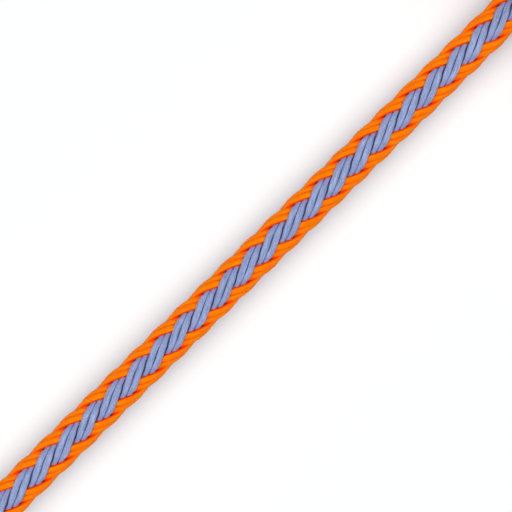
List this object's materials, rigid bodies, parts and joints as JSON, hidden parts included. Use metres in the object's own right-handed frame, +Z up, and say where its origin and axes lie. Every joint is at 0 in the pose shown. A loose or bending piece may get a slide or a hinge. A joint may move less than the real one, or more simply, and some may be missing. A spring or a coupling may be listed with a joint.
{
  "type": "dynamic climbing rope",
  "caption": "Braided kernmantle rope in blue and orange with a straight stretch, sealed and sleeved ends, and its remaining length folded into a tied hank.",
  "frame": {"origin": "bottom centre of the whole, on the surface that the rope lies on", "axes": "+X along the rope from its near end towards the hank, +Z up"},
  "size_m": [0.3984, 0.0686, 0.0456],
  "materials": {
    "blue_yarn": "satin nylon filament yarn, blue-grey",
    "orange_yarn": "satin nylon filament yarn, bright orange",
    "hank_sheath": "braided sheath of blue and orange yarn",
    "core_yarn": "white twisted nylon core cord",
    "tracer_yarn": "black marker yarn",
    "sleeve_film": "black shrunk plastic sleeve",
    "fused_nylon": "nylon melted by the hot cut",
    "tie_webbing": "black hook-and-loop strap"
  },
  "bodies": {
    "root": {"blue_strand_1": "blue_yarn", "blue_strand_2": "blue_yarn", "blue_strand_3": "blue_yarn", "blue_strand_4": "blue_yarn", "blue_strand_5": "blue_yarn", "blue_strand_6": "blue_yarn", "orange_strand_1": "orange_yarn", "orange_strand_2": "orange_yarn", "orange_strand_3": "orange_yarn", "orange_strand_4": "orange_yarn", "orange_strand_5": "orange_yarn", "orange_strand_6": "orange_yarn", "core_cord_1": "core_yarn", "core_cord_2": "core_yarn", "core_cord_3": "core_yarn", "core_cord_4": "core_yarn", "core_cord_5": "core_yarn", "core_cord_6": "core_yarn", "core_cord_7": "core_yarn", "tracer_yarn": "tracer_yarn", "near_end_sleeve": "sleeve_film", "near_end_tip": "fused_nylon", "far_end_sleeve": "sleeve_film", "far_end_tip": "fused_nylon", "rope_hank": "hank_sheath", "hank_tie": "tie_webbing"}
  },
  "joints": []
}
